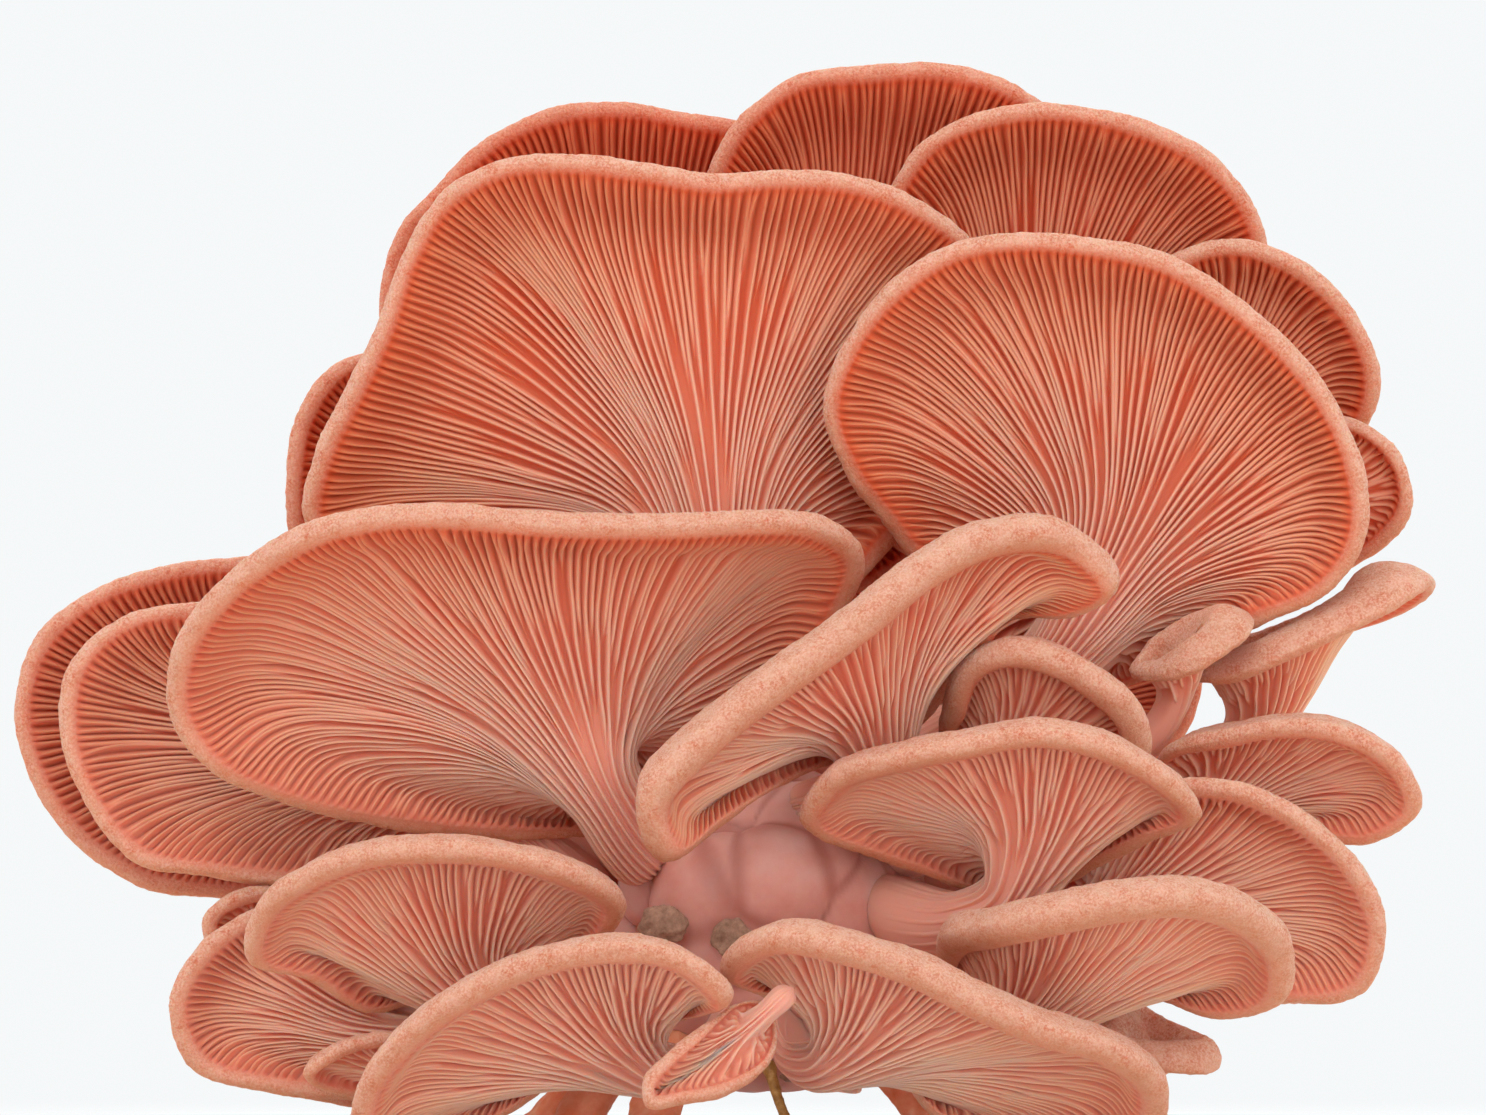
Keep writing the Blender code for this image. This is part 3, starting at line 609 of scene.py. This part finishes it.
def bumped(tree, shader, height, distance, strength):
    node = tree.nodes.new("ShaderNodeBump")
    node.inputs["Distance"].default_value = distance
    node.inputs["Strength"].default_value = strength
    tree.links.new(height, node.inputs["Height"])
    tree.links.new(node.outputs["Normal"], shader.inputs["Normal"])


def flesh_material(name):
    """A Principled shader set up for mushroom flesh: soft, translucent and matt."""
    material = bpy.data.materials.new(name)
    tree, shader = nodes_of(material)
    shader.inputs["Subsurface Weight"].default_value = 0.7
    shader.inputs["Subsurface Radius"].default_value = (1.0, 0.36, 0.20)
    shader.inputs["Subsurface Scale"].default_value = 2.6 * MM
    shader.inputs["Specular IOR Level"].default_value = 0.12
    shader.inputs["Sheen Weight"].default_value = 0.05
    shader.inputs["Sheen Roughness"].default_value = 0.6
    shader.inputs["Sheen Tint"].default_value = linear(255, 206, 184)
    return material, tree, shader


def axis_value(tree, output, axis):
    """One axis of the object's own place or normal."""
    place = tree.nodes.new("ShaderNodeTexCoord")
    split = tree.nodes.new("ShaderNodeSeparateXYZ")
    tree.links.new(place.outputs[output], split.inputs[0])
    return split.outputs[axis]


def ranged(tree, value, low, high, most):
    """0 at low rising to most at high."""
    node = tree.nodes.new("ShaderNodeMapRange")
    tree.links.new(value, node.inputs["Value"])
    node.inputs["From Min"].default_value = low
    node.inputs["From Max"].default_value = high
    node.inputs["To Max"].default_value = most
    return node.outputs["Result"]


def grey(value):
    return (value, value, value, 1)


def mushroom_material():
    """Gills with pale edges over deep orange gaps, and a felt that is pale, mottled and speckled. Painted
    light is
    mixed in: the gaps and the gills near the margin are partly painted shade and warm bounced glow, the caps
    further back are painted a deeper red for their shade and back-lit glow, and the felt is painted ochre
    where it faces down, as shade."""
    material, tree, shader = flesh_material("pink_oyster")
    along, ridge = layer_value(tree, "along"), layer_value(tree, "ridge")
    # Both gill ramps turn redder towards the margin: partly the flesh's own colour, partly painted shade
    # under the rolled margin.
    edge = ramp(tree, along, [
        (0.0, linear(236, 178, 160)), (0.4, linear(235, 168, 145)),
        (0.8, linear(232, 150, 118)), (1.0, linear(220, 118, 78))])
    # The gaps' deeper, redder orange is partly the flesh's own colour, partly painted shade and warm bounced
    # glow between the gills.
    gap_painted_shade = ramp(tree, along, [
        (0.0, linear(232, 160, 138)), (0.3, linear(229, 138, 108)),
        (0.65, linear(222, 110, 76)), (1.0, linear(212, 92, 54))])
    cloudy = noise(tree, 14 * MM, 3)
    height = maths(tree, "MULTIPLY_ADD", cloudy, 0.25, maths(tree, "SUBTRACT", ridge, 0.1))
    gills = mixed(tree, ramp(tree, height, [(0.25, grey(0)), (0.95, grey(1))]), gap_painted_shade, edge)
    lower_down = ranged(tree, axis_value(tree, "Object", "Z"), 90 * MM, 40 * MM, 0.32)
    gills = mixed(tree, lower_down, gills, linear(242, 188, 168))
    felt = ramp(tree, noise(tree, 2.4 * MM, 3, 0.6), [
        (0.30, linear(216, 134, 102)), (0.5, linear(226, 158, 130)), (0.72, linear(234, 178, 152))])
    specks = ramp(tree, noise(tree, 1.5 * MM, 3, 0.6), [(0.56, grey(0)), (0.66, grey(0.6))])
    felt = mixed(tree, specks, felt, linear(212, 104, 66))
    fuzz = ramp(tree, noise(tree, 0.32 * MM, 2, 0.7), [(0.40, grey(0)), (0.62, grey(0.75))])
    felt = mixed(tree, fuzz, felt, linear(242, 200, 176))
    # Painted shade: the felt is tinted a darker ochre where it faces down, away from the light.
    facing_down_painted_shade = ranged(tree, axis_value(tree, "Normal", "Z"), 0.1, -0.8, 0.6)
    felt = mixed(tree, facing_down_painted_shade, felt, linear(206, 128, 80))
    colour = mixed(tree, layer_value(tree, "felt"), gills, felt)
    # Painted light: caps further back are tinted a deeper red-orange, standing in for their shade and the
    # glow of light through them.
    further_back_painted_light = ranged(tree, axis_value(tree, "Object", "Y"), 8 * MM, 34 * MM, 0.4)
    colour = mixed(tree, further_back_painted_light, colour, linear(246, 160, 128), "MULTIPLY")
    tree.links.new(colour, shader.inputs["Base Color"])
    shader.inputs["Roughness"].default_value = 0.7
    fibres = maths(tree, "MULTIPLY", noise(tree, 0.35 * MM, 3, 0.7), layer_value(tree, "felt"))
    bumped(tree, shader, fibres, 0.4 * MM, 1.0)
    return material


def base_material():
    """The pale, smooth, dusky pink flesh of the fused foot, with painted shade in the creases between its
    swellings.
    """
    material, tree, shader = flesh_material("pale_flesh")
    colour = ramp(tree, noise(tree, 9 * MM, 4, 0.55), [
        (0.25, linear(220, 146, 130)), (0.5, linear(230, 170, 156)), (0.75, linear(236, 190, 178))])
    # Painted shade: the creases where two swellings meet are darkened.
    crease_shade = maths(tree, "MULTIPLY", layer_value(tree, "crease_shade"), 0.5)
    colour = mixed(tree, crease_shade, colour, linear(176, 92, 76))
    tree.links.new(colour, shader.inputs["Base Color"])
    shader.inputs["Subsurface Scale"].default_value = 1.2 * MM
    shader.inputs["Roughness"].default_value = 0.5
    bumped(tree, shader, noise(tree, 0.9 * MM, 3), 0.15 * MM, 0.35)
    return material


def stem_material():
    """The fibrous, salmon side of a cut stem."""
    material, tree, shader = flesh_material("cut_stem")
    colour = ramp(tree, noise(tree, 4 * MM, 4, 0.6), [
        (0.3, linear(224, 120, 78)), (0.6, linear(238, 160, 124)), (0.8, linear(244, 190, 160))])
    tree.links.new(colour, shader.inputs["Base Color"])
    shader.inputs["Roughness"].default_value = 0.6
    bumped(tree, shader, noise(tree, 0.6 * MM, 3), 0.2 * MM, 0.4)
    return material


def plain_material(name, stops, size, roughness):
    """Straw or a crumb: a mottled matt colour with a fine grain."""
    material = bpy.data.materials.new(name)
    tree, shader = nodes_of(material)
    tree.links.new(ramp(tree, noise(tree, size, 4, 0.6), stops), shader.inputs["Base Color"])
    shader.inputs["Roughness"].default_value = roughness
    bumped(tree, shader, noise(tree, size / 3, 3), 0.15 * MM, 0.6)
    return material


# The other pieces


def fine_solid(node_name, material, rings_in_all, columns, rows, relief):
    """A ringed CAD solid, smoothed, with relief(points) added along its normals. relief gives the height
    to add and, if it has any, its creases."""
    rings, tip, end = rings_of(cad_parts[node_name], rings_in_all)
    flat_foot = end is None
    sides = rings.shape[1]
    parts = [np.repeat(tip[None, None], sides, 1), rings]
    if not flat_foot:
        parts.append(np.repeat(end[None, None], sides, 1))
    stack = np.concatenate(parts)
    knots = knotted(stack)
    places = np.linspace(0, knots[-1], rows + 2)[1 : None if flat_foot else -1]
    turns = np.tile(np.arange(columns) * sides / columns, (len(places), 1))
    grid = around_rings(along_rings(stack, knots, places), turns)
    normal = normals_of(grid)
    normal = normal * outward_sign(grid, normal)
    lift, crease_shade = relief(grid)
    if flat_foot:
        lift = lift * smooth_step(0, FOOT_CALM, grid[..., 2])
        end = grid[-1].mean(axis=0)
    grid = grid + normal * lift[..., None]
    if flat_foot:
        grid[-1, :, 2] = 0
    points = np.concatenate([grid.reshape(-1, 3), tip[None], end[None]])
    tip_index = len(points) - 2
    triangles = np.concatenate(
        [
            tube_triangles(len(grid), columns),
            fan_triangles(tip_index, 0, columns, flip=True),
            fan_triangles(tip_index + 1, (len(grid) - 1) * columns, columns, flip=False),
        ]
    )
    uvs = np.concatenate([grid_uvs(len(grid), columns, 0.03, 0.97), [[0.5, 0.0], [0.5, 1.0]]])
    layers = None if crease_shade is None else {"crease_shade": np.append(crease_shade.ravel(), [0, 0])}
    return new_piece("skin_" + node_name, points, triangles, material, [node_name], layers, uvs)


def lumps(points):
    """Rounded swellings that crowd each other, and the mask for painted crease shade: 1 where two of them
    meet.
    """
    rng = np.random.default_rng(RNG_SEED)
    centre = points.reshape(-1, 3).mean(axis=0)
    way = rng.normal(size=(LUMPS, 3))
    way /= np.linalg.norm(way, axis=1, keepdims=True)
    size = rng.uniform(0.28, 0.52, len(way))
    arms = points - centre
    arms = arms / np.linalg.norm(arms, axis=2, keepdims=True)
    highest, second = np.zeros(points.shape[:2]), np.zeros(points.shape[:2])
    for direction, width in zip(way, size):
        apart = np.linalg.norm(arms - direction, axis=2)
        swelling = width * 10 * MM * np.sqrt(np.clip(1 - (apart / width) ** 2, 0, 1))
        second = np.maximum(second, np.minimum(highest, swelling))
        highest = np.maximum(highest, swelling)
    crease_shade = 1 - smooth_step(0, 0.9 * MM, highest - second)
    lift = highest - 2.2 * MM + 0.12 * MM * lattice_noise(points, 1.6 * MM, 5)
    return lift, crease_shade


def fibres(points):
    """Long shallow ridges down a cut stem."""
    stretched = points * (1, 1, 0.12)
    ridges = 0.35 * MM * lattice_noise(stretched, 1.5 * MM, 6)
    return ridges + 0.1 * MM * lattice_noise(points, 0.7 * MM, 7), None


def roughness_of(size, height):
    """A relief of grains of that size."""

    def relief(points):
        grain = lattice_noise(points, size, 8) + 0.6 * lattice_noise(points, size * 0.4, 9)
        return height * grain, None

    return relief


# The stage


def surround():
    """An even, near-white world."""
    world = bpy.data.worlds.new("surround")
    bpy.context.scene.world = world
    world.use_nodes = True
    background = world.node_tree.nodes["Background"]
    background.inputs["Color"].default_value = (0.92, 0.94, 0.945, 1)
    background.inputs["Strength"].default_value = 1.0


def floor_material():
    """Pale and matt, fading out round the cluster."""
    material = bpy.data.materials.new("floor")
    tree, shader = nodes_of(material)
    shader.inputs["Base Color"].default_value = (0.9, 0.9, 0.9, 1)
    shader.inputs["Roughness"].default_value = 0.9
    place = tree.nodes.new("ShaderNodeTexCoord")
    length = tree.nodes.new("ShaderNodeVectorMath")
    length.operation = "LENGTH"
    tree.links.new(place.outputs["Object"], length.inputs[0])
    fade = tree.nodes.new("ShaderNodeMapRange")
    fade.interpolation_type = "SMOOTHSTEP"
    fade.inputs["From Min"].default_value = FLOOR_SOLID
    fade.inputs["From Max"].default_value = FLOOR_GONE
    fade.inputs["To Min"].default_value = 1.0
    fade.inputs["To Max"].default_value = 0.0
    tree.links.new(length.outputs["Value"], fade.inputs["Value"])
    tree.links.new(fade.outputs["Result"], shader.inputs["Alpha"])
    return material


def ground():
    """The floor that the cluster stands on."""
    mesh = bpy.data.meshes.new("floor")
    corners = [(x * FLOOR_REACH, y * FLOOR_REACH, 0) for x, y in ((-1, -1), (1, -1), (1, 1), (-1, 1))]
    mesh.from_pydata(corners, [], [(0, 1, 2, 3)])
    floor = bpy.data.objects.new("floor", mesh)
    bpy.context.scene.collection.objects.link(floor)
    floor.data.materials.append(floor_material())


def lamps():
    """Broad area lights that face the middle of the cluster."""
    for name, place, size, power in LAMPS:
        light = bpy.data.lights.new(name, "AREA")
        light.size = size
        light.energy = power
        lamp = bpy.data.objects.new(name, light)
        lamp.location = place
        lamp.rotation_euler = (Vector(LIT_POINT) - Vector(place)).to_track_quat("-Z", "Y").to_euler()
        bpy.context.scene.collection.objects.link(lamp)


def level_camera():
    """A far, level camera that looks along +Y at the gilled front."""
    data = bpy.data.cameras.new("camera")
    data.sensor_width = SENSOR
    data.lens = SENSOR * CAMERA_DISTANCE / SEEN_WIDTH
    data.clip_end = 50
    camera = bpy.data.objects.new("camera", data)
    camera.location = (CAMERA_X, -CAMERA_DISTANCE, CAMERA_Z)
    camera.rotation_euler = (math.pi / 2, 0, 0)
    bpy.context.scene.collection.objects.link(camera)
    bpy.context.scene.camera = camera
    bpy.context.scene.view_settings.view_transform = "Standard"


def pieces():
    """Every piece of the cluster, from its CAD node."""
    pink = mushroom_material()
    rng = np.random.default_rng(RNG_SEED)
    cut = stem_material()
    straw = plain_material("straw", STRAW_STOPS, 1.2 * MM, 0.5)
    bed = plain_material("bed_crumb", BED_STOPS, 1.0 * MM, 0.85)
    for name in sorted(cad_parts):
        if name.startswith("cap_"):
            mushroom(name, pink, rng)
        elif name.startswith("cut_stem"):
            fine_solid(name, cut, BODY_RINGS["stem"], 96, 60, fibres)
        elif name.startswith("bed_crumb"):
            grains = roughness_of(1.1 * MM, 0.16 * MM)
            fine_solid(name, bed, BODY_RINGS["crumb"], 60, 40, grains)
    fine_solid("fused_base", base_material(), BODY_RINGS["base"], 260, 170, lumps)
    grains = roughness_of(0.5 * MM, 0.06 * MM)
    fine_solid("straw_stalk", straw, BODY_RINGS["straw"], 40, 60, grains)


surround()
ground()
lamps()
level_camera()
pieces()
